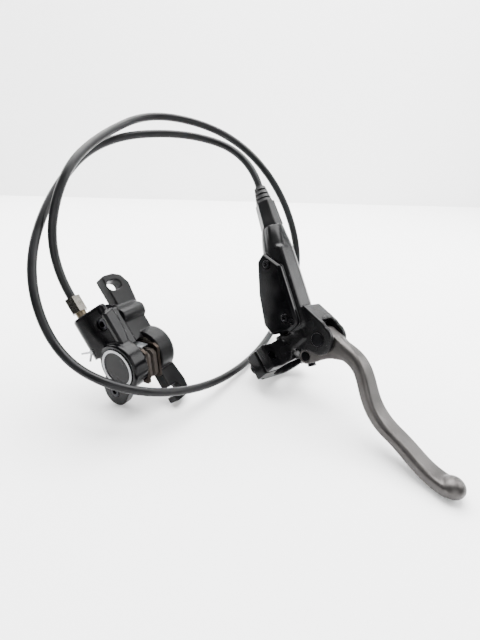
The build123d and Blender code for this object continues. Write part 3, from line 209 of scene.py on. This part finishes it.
def spread(tree, value, low, high):
    """Turns a noise value into a number between low and high."""
    start, end = NUMBER_SPAN
    return node(
        tree,
        "ShaderNodeMapRange",
        {"interpolation_type": "SMOOTHSTEP"},
        {"From Min": start, "From Max": end, "To Min": low, "To Max": high},
        {"Value": value},
    ).outputs["Result"]


def two_tone(tree, shader, value, first, second):
    """Colours a shader with a blend of two colours by a noise value."""
    ramp = node(tree, "ShaderNodeValToRGB", links={"Fac": value})
    for element, position, code in zip(ramp.color_ramp.elements, COLOUR_SPAN, (first, second)):
        element.position = position
        element.color = linear(code)
    tree.links.new(ramp.outputs["Color"], shader.inputs["Base Color"])


def uneven(tree, shader, value, roughness, reach):
    """Makes a shader rougher and smoother by a noise value, within its reach of a middle."""
    less, more = reach
    result = spread(tree, value, roughness + less, roughness + more)
    tree.links.new(result, shader.inputs["Roughness"])


def bumped(tree, shader, value, depth_mm):
    """Relief from a noise value, whose hills are depth_mm high."""
    relief = node(
        tree,
        "ShaderNodeBump",
        inputs={"Strength": 1.0, "Distance": depth_mm * MM},
        links={"Height": value},
    )
    tree.links.new(relief.outputs["Normal"], shader.inputs["Normal"])


def painted_metal(name, light, dark, roughness, shine, peel_mm=0.9, peel_depth=0.012):
    """Paint sprayed on a casting: a faint orange peel, and a gloss that varies a little."""
    made, tree, shader = start_material(name)
    peel = grain(tree, peel_mm, FINE)
    cloud = grain(tree, PAINT_PATCH, SOFT)
    two_tone(tree, shader, cloud, dark, light)
    uneven(tree, shader, cloud, roughness, PAINT_REACH)
    shader.inputs["Specular IOR Level"].default_value = shine
    bumped(tree, shader, peel, peel_depth)
    return made


def blasted_metal(name, light, dark, roughness):
    """Metal blasted with grit and anodised: fine pits that soften its reflections to a sheen."""
    made, tree, shader = start_material(name)
    pits = grain(tree, PIT_WIDTH, SOFT)
    cloud = grain(tree, BLASTED_PATCH, FINE)
    two_tone(tree, shader, cloud, dark, light)
    uneven(tree, shader, pits, roughness, BLASTED_REACH)
    shader.inputs["Metallic"].default_value = 1.0
    bumped(tree, shader, pits, PIT_DEPTH)
    return made


def turned_metal(name, light, dark, roughness):
    """Turned, drawn or ground metal: tool marks that break up its highlights."""
    made, tree, shader = start_material(name)
    lines = grain(tree, TOOL_LINE_WIDTH, FINE)
    cloud = grain(tree, TURNED_PATCH, SOFT)
    two_tone(tree, shader, cloud, dark, light)
    uneven(tree, shader, lines, roughness, TURNED_REACH)
    shader.inputs["Metallic"].default_value = 1.0
    bumped(tree, shader, lines, TOOL_LINE_DEPTH)
    return made


def moulded(name, light, dark, roughness, grain_mm, depth_mm, shine=0.3):
    """Moulded plastic or rubber: the mould's own fine texture, duller where it was handled."""
    made, tree, shader = start_material(name)
    skin = grain(tree, grain_mm, SOFT)
    cloud = grain(tree, MOULDED_PATCH, SOFT)
    two_tone(tree, shader, cloud, dark, light)
    uneven(tree, shader, cloud, roughness, MOULDED_REACH)
    shader.inputs["Specular IOR Level"].default_value = shine
    bumped(tree, shader, skin, depth_mm)
    return made


def pressed_compound(name, light, dark):
    """Brake lining pressed from resin, fibre and metal powder: speckled, without any gloss."""
    made, tree, shader = start_material(name)
    specks = grain(tree, SPECK_WIDTH, SPECKLED)
    two_tone(tree, shader, specks, dark, light)
    shader.inputs["Roughness"].default_value = LINING_ROUGHNESS
    bumped(tree, shader, specks, SPECK_DEPTH)
    return made


def dress(names, material):
    """Gives CAD nodes a material in place of the plain one that they came with."""
    for name in names:
        mesh = NODES[name].data
        mesh.materials.clear()
        mesh.materials.append(material)


def lever_point(x, y, z):
    """A point of the lever's own frame, in millimetres, as a place in metres."""
    return (LEVER_PLACE @ Vector((x, y, z, 1.0))).to_3d() * MM


def merged_copy(name):
    """A bmesh of a CAD node's mesh, with the points that its faces share made one."""
    mesh = bmesh.new()
    mesh.from_mesh(NODES[name].data)
    bmesh.ops.remove_doubles(mesh, verts=mesh.verts, dist=MERGE_MM * MM)
    return mesh


def finish_mesh(mesh, name, material):
    """Turns a bmesh into an object of the scene with one material."""
    data = bpy.data.meshes.new(name)
    mesh.to_mesh(data)
    mesh.free()
    data.materials.append(material)
    made = bpy.data.objects.new(name, data)
    bpy.context.scene.collection.objects.link(made)
    return made


def soften(name, body, material, grid_mm, passes, reshape=None):
    """Stands a copy of a casting in its place, with its edges rounded as a foundry leaves them."""
    mesh = merged_copy(name)
    if reshape:
        reshape(mesh)
    made = finish_mesh(mesh, name + "_cast", material)
    grid = made.modifiers.new("grid", "REMESH")
    grid.mode = "VOXEL"
    grid.voxel_size = grid_mm * MM
    grid.use_smooth_shade = True
    round_off = made.modifiers.new("round_off", "SMOOTH")
    round_off.factor = PASS_FACTOR
    round_off.iterations = passes
    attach(made, body)
    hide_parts(name)


class LeverSettings(bpy.types.PropertyGroup):
    """Looks of the lever unit."""

    body_shine: FloatProperty(
        name="Body shine",
        description="Strength of the reflections on the body",
        default=0.12,
        min=0,
        max=1,
    )
    casting_grid: FloatProperty(
        name="Casting grid",
        description="Spacing of the points that a casting's rounded edges are made from",
        default=0.5 * MM,
        unit="LENGTH",
    )


class HoseSettings(bpy.types.PropertyGroup):
    """Sizes of the hose."""

    diameter: FloatProperty(
        name="Diameter",
        description="Outside diameter of the hose",
        default=5 * MM,
        unit="LENGTH",
    )
    length: FloatProperty(
        name="Length",
        description="Length of the hose between its boot and its nut",
        default=0.855,
        unit="LENGTH",
    )


class StageSettings(bpy.types.PropertyGroup):
    """Floor and light."""

    floor_colour: FloatVectorProperty(
        name="Floor colour",
        description="Colour of the floor and the backdrop",
        subtype="COLOR",
        size=4,
        default=linear("fafafa"),
        min=0,
        max=1,
    )
    key_power: FloatProperty(
        name="Key light",
        description="Power of the soft light overhead",
        default=50.0,
        unit="POWER",
    )


class BRAKE_OT_stage(bpy.types.Operator):
    """Makes the camera, the soft lights, the pale floor and its backdrop"""

    bl_idname = "brake.stage"
    bl_label = "Stage"

    def execute(self, context):
        settings = context.scene.brake_stage
        self.camera(context.scene)

        # Uncoated paper: a pale even ground that takes soft shadows and mirrors nothing
        paper, tree, shader = start_material("matte paper")
        fibres = grain(tree, PAPER_FIBRE, SPECKLED)
        shader.inputs["Base Color"].default_value = settings.floor_colour
        tree.links.new(spread(tree, fibres, *PAPER_ROUGHNESS), shader.inputs["Roughness"])
        mesh = bmesh.new()
        bmesh.ops.create_grid(mesh, x_segments=1, y_segments=1, size=STAGE_HALF)
        floor = finish_mesh(mesh, "floor", paper)
        mesh = bmesh.new()
        bmesh.ops.create_grid(mesh, x_segments=1, y_segments=1, size=STAGE_HALF)
        upright = Matrix.Rotation(radians(90), 3, "X")
        bmesh.ops.rotate(mesh, verts=mesh.verts, cent=(0, 0, 0), matrix=upright)
        bmesh.ops.translate(mesh, verts=mesh.verts, vec=BACKDROP_PLACE)
        backdrop = finish_mesh(mesh, "backdrop", paper)

        for name, place, target, side, share in LIGHTS:
            self.light(name, place, target, side, settings.key_power * share)
        world = bpy.data.worlds.new("studio")
        world.use_nodes = True
        room = world.node_tree.nodes["Background"]
        room.inputs["Color"].default_value = linear(ROOM_COLOUR)
        room.inputs["Strength"].default_value = ROOM_STRENGTH
        context.scene.world = world
        return {"FINISHED"}

    @staticmethod
    def camera(scene):
        """Stands the camera where the photograph was taken from."""
        data = bpy.data.cameras.new("camera")
        data.lens = CAMERA_LENS
        data.sensor_width = CAMERA_SENSOR
        data.clip_start = CAMERA_NEAR
        made = bpy.data.objects.new("camera", data)
        right = CAMERA_RIGHT.normalized()
        back = -(CAMERA_FORWARD - right * CAMERA_FORWARD.dot(right)).normalized()
        turn = Matrix((right, back.cross(right), back)).transposed()
        made.matrix_world = Matrix.Translation(CAMERA_PLACE) @ turn.to_4x4()
        scene.collection.objects.link(made)
        scene.camera = made

    @staticmethod
    def light(name, place, target, side, power):
        """Adds a square soft light that points at its target."""
        data = bpy.data.lights.new(name, "AREA")
        data.size = side
        data.energy = power
        made = bpy.data.objects.new(name, data)
        made.location = place
        aim = Vector(target) - Vector(place)
        made.rotation_euler = aim.to_track_quat("-Z", "Y").to_euler()
        bpy.context.scene.collection.objects.link(made)


class BRAKE_OT_hose(bpy.types.Operator):
    """Makes the hose as one smooth line through its route, and its plastic"""

    bl_idname = "brake.hose"
    bl_label = "Hose"

    def execute(self, context):
        settings = context.scene.brake_hose
        data = bpy.data.curves.new("hose_line", "CURVE")
        data.dimensions = "3D"
        data.bevel_depth = settings.diameter / 2
        data.bevel_resolution = HOSE_FACETS
        data.resolution_u = HOSE_STEPS
        data.use_fill_caps = True
        line = data.splines.new("NURBS")
        line.points.add(len(HOSE_ROUTE) - 1)
        for point, place in zip(line.points, HOSE_ROUTE):
            point.co = (*(c * MM for c in place), 1.0)
        line.order_u = HOSE_ORDER
        line.use_endpoint_u = True
        line.use_smooth = True
        hose = bpy.data.objects.new("hose_line", data)
        context.scene.collection.objects.link(hose)
        # Extruded nylon over a woven core: a soft dark sheen that runs on along the hose
        nylon = moulded(
            "extruded nylon", "0e0e10", "0a0a0b", roughness=0.4, grain_mm=0.6, depth_mm=0.01,
            shine=0.16,
        )
        data.materials.append(nylon)
        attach(hose, "brake_housings")
        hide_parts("hose")
        return {"FINISHED"}


class BRAKE_OT_lever(bpy.types.Operator):
    """Finishes the lever unit: body, clamp, reservoir, blade and the hose's end"""

    bl_idname = "brake.lever"
    bl_label = "Lever unit"

    def execute(self, context):
        settings = context.scene.brake_lever
        grid = settings.casting_grid / MM
        # Sprayed black over cast aluminium: dark, with wide soft highlights
        paint = painted_metal(
            "black spray paint", "0a0a0b", "070708", roughness=0.24, shine=settings.body_shine,
        )
        soften("lever_body", "brake_housings", paint, grid, BODY_PASSES)
        soften("clamp_cap", "brake_housings", paint, grid, CLAMP_PASSES)
        # Anodised aluminium, blasted first: the blade's even grey sheen, with no sharp reflection
        grey = blasted_metal("grey anodised aluminium", "464443", "403e3d", roughness=0.42)
        soften("lever_blade", "blade", grey, grid, BLADE_PASSES, self.ball_end)
        # Gloss enamel on the lid: nearly black, with a crisp line of light along its edge
        gloss = painted_metal(
            "black gloss enamel", "050506", "040405", roughness=0.16, shine=0.1, peel_mm=1.2,
            peel_depth=0.002,
        )
        soften("reservoir_lid", "brake_housings", gloss, LID_GRID, LID_PASSES)
        self.return_spring()
        # Nitrile rubber: dull black, so that the boot looks softer than the sleeve below it
        dress(
            ("reservoir_diaphragm", "hose_boot", "primary_cup", "secondary_cup"),
            moulded(
                "nitrile rubber", "0b0b0c", "070708", roughness=0.55, grain_mm=0.5, depth_mm=0.02,
            ),
        )
        # Nylon sleeve: black, a little shine on its flats
        dress(
            ("hose_sleeve",),
            moulded(
                "black nylon", "0a0a0b", "070708", roughness=0.34, grain_mm=0.7, depth_mm=0.01,
            ),
        )
        # Zinc plated steel: cool bright grey, inside the hose's end
        dress(
            ("lever_hose_bolt", "lever_hose_insert"),
            turned_metal("zinc plated steel", "b9bbbd", "8c8f92", roughness=0.28),
        )
        # Black oxide on steel: half dull, so that screws and pins part from the paint round them.
        # On the clamp's hinge pin and the retaining ring this black is painted shade, which keeps
        # the gap by the pivot dark
        dress(
            (
                "clamp_bolt", "clamp_hinge_pin", "lid_screws", "lever_bleed_screw",
                "blade_pivot_pin", "adjuster_barrel", "push_rod", "retaining_ring",
            ),
            turned_metal("black oxide steel and painted shade", "141416", "0e0e0f", roughness=0.32),
        )
        # Piston: a dark grey that paints the shade in the gap by the pivot, and stays unseen behind
        # the push rod
        dress(
            ("master_piston",),
            turned_metal("dark grey aluminium as painted shade", "3c3d3f", "2e2f31", roughness=0.36),
        )
        # Turned brass bush and olive: yellow, inside the pieces that they hold
        dress(
            ("blade_bush", "lever_hose_olive"),
            turned_metal("machined brass", "c29f5a", "9a7a3c", roughness=0.3),
        )
        return {"FINISHED"}

    @staticmethod
    def return_spring():
        """Stands a copy of the return spring in its place, which the piston shortens."""
        # Hard drawn spring wire: a dull steel grey with fine drawing lines
        wire = turned_metal("drawn spring wire", "a2a3a5", "7b7d80", roughness=0.34)
        made = finish_mesh(merged_copy("piston_spring"), "return_spring", wire)
        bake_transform(made)
        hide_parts("piston_spring")

    @staticmethod
    def ball_end(mesh):
        """Cuts the blade's end off and puts a ball there, a little flattened."""
        centre = lever_point(*BALL_PLACE)
        turn = LEVER_TURN @ Matrix.Rotation(BALL_LEAN, 3, "Z")
        cut = bmesh.ops.bisect_plane(
            mesh,
            geom=mesh.verts[:] + mesh.edges[:] + mesh.faces[:],
            plane_co=centre,
            plane_no=turn.col[0],
            clear_outer=True,
        )
        rim = [edge for edge in cut["geom_cut"] if isinstance(edge, bmesh.types.BMEdge)]
        bmesh.ops.holes_fill(mesh, edges=rim)
        ball = bmesh.ops.create_uvsphere(
            mesh, u_segments=BALL_AROUND, v_segments=BALL_RINGS, radius=1.0,
        )["verts"]
        place = Matrix.LocRotScale(centre, turn.to_quaternion(), Vector(BALL_RADII) * MM)
        bmesh.ops.transform(mesh, matrix=place, verts=ball)


class BRAKE_OT_caliper(bpy.types.Operator):
    """Finishes the caliper: its halves, pads, pistons, screws and the hose's nut"""

    bl_idname = "brake.caliper"
    bl_label = "Caliper"

    def execute(self, context):
        # Gloss paint on the hose's half: black, with narrow highlights along the round cylinder
        gloss = painted_metal(
            "black gloss paint", "050506", "040405", roughness=0.18, shine=0.11, peel_mm=1.1,
            peel_depth=0.004,
        )
        soften(
            "caliper_hose_half", "brake_housings", gloss,
            CALIPER_GRID, CALIPER_PASSES,
        )
        # Satin paint on the half with the ears: a wider, duller light that sets it back
        satin = painted_metal(
            "black satin paint", "080809", "060607", roughness=0.34, shine=0.12, peel_mm=0.6,
            peel_depth=0.01,
        )
        soften(
            "caliper_mount_half", "brake_housings", satin,
            CALIPER_GRID, CALIPER_PASSES,
        )
        # Moulded cap over the cylinder: the deepest black, with a low even sheen
        dress(
            ("bore_cap",),
            moulded(
                "black phenolic", "060607", "050506", roughness=0.3, grain_mm=0.8, depth_mm=0.01,
                shine=0.08,
            ),
        )
        # Turned ring round the cap: one bright line that the eye goes to first
        dress(
            ("bore_cap_ring",),
            turned_metal("bright turned aluminium", "7f8081", "6c6d6f", roughness=0.24),
        )
        # Nickel plated nut: a warm silver, brighter on the flats that face the light
        dress(
            ("hose_nut",),
            turned_metal("nickel plated brass", "5d5a55", "464440", roughness=0.26),
        )
        # Its neck, without the plating: the warmest spot of the caliper
        dress(("hose_nut_neck",), turned_metal("plain brass", "625a4c", "494236", roughness=0.34))
        # Backing plates after a few hot stops: brown from the heat, dull
        dress(
            ("pad_plate_hose_side", "pad_plate_mount_side"),
            turned_metal("heat tanned steel", "2c2622", "201c19", roughness=0.46),
        )
        # Lining: no gloss at all, so that the slot reads as deep
        dress(
            ("pad_lining_hose_side", "pad_lining_mount_side"),
            pressed_compound("resin brake lining", "2c241d", "17130f"),
        )
        # Bare stainless pin and spring: small cool glints
        dress(
            ("split_pin", "pad_spring"),
            turned_metal("stainless steel", "b5b6b8", "85878a", roughness=0.3),
        )
        # Blackened bolts and plug: dark, with a blue grey edge
        dress(
            ("caliper_body_bolts", "caliper_bleed_plug"),
            turned_metal("blackened steel", "2c2c30", "1a1a1d", roughness=0.34),
        )
        # Ground pistons: a pale dull face deep in the slot
        dress(
            ("piston_hose_side", "piston_mount_side"),
            turned_metal("turned phenolic and steel", "b8b4ac", "94918a", roughness=0.4),
        )
        # Seals: soft matte black
        dress(
            ("piston_seals", "passage_o_ring"),
            moulded(
                "seal rubber", "161617", "0d0d0e", roughness=0.6, grain_mm=0.4, depth_mm=0.01,
            ),
        )
        return {"FINISHED"}


SETTINGS = {
    "brake_lever": LeverSettings,
    "brake_hose": HoseSettings,
    "brake_stage": StageSettings,
}
OPERATORS = (BRAKE_OT_stage, BRAKE_OT_hose, BRAKE_OT_lever, BRAKE_OT_caliper)


class BRAKE_PT_panel(bpy.types.Panel):
    """Lists the brake's sizes, its looks and its steps"""

    bl_idname = "BRAKE_PT_panel"
    bl_label = "Disc brake"
    bl_space_type = "VIEW_3D"
    bl_region_type = "UI"
    bl_category = "Brake"

    def draw(self, context):
        for name, group in SETTINGS.items():
            for key in group.__annotations__:
                self.layout.prop(getattr(context.scene, name), key)
        for operator in OPERATORS:
            self.layout.operator(operator.bl_idname)


def register():
    for group in SETTINGS.values():
        bpy.utils.register_class(group)
    for operator in OPERATORS:
        bpy.utils.register_class(operator)
    bpy.utils.register_class(BRAKE_PT_panel)
    for name, group in SETTINGS.items():
        setattr(bpy.types.Scene, name, PointerProperty(type=group))


def unregister():
    for name in SETTINGS:
        delattr(bpy.types.Scene, name)
    bpy.utils.unregister_class(BRAKE_PT_panel)
    for operator in OPERATORS:
        bpy.utils.unregister_class(operator)
    for group in SETTINGS.values():
        bpy.utils.unregister_class(group)


def main():
    register()
    bpy.ops.brake.stage()
    bpy.ops.brake.hose()
    bpy.ops.brake.lever()
    bpy.ops.brake.caliper()


if __name__ == "__main__":
    main()
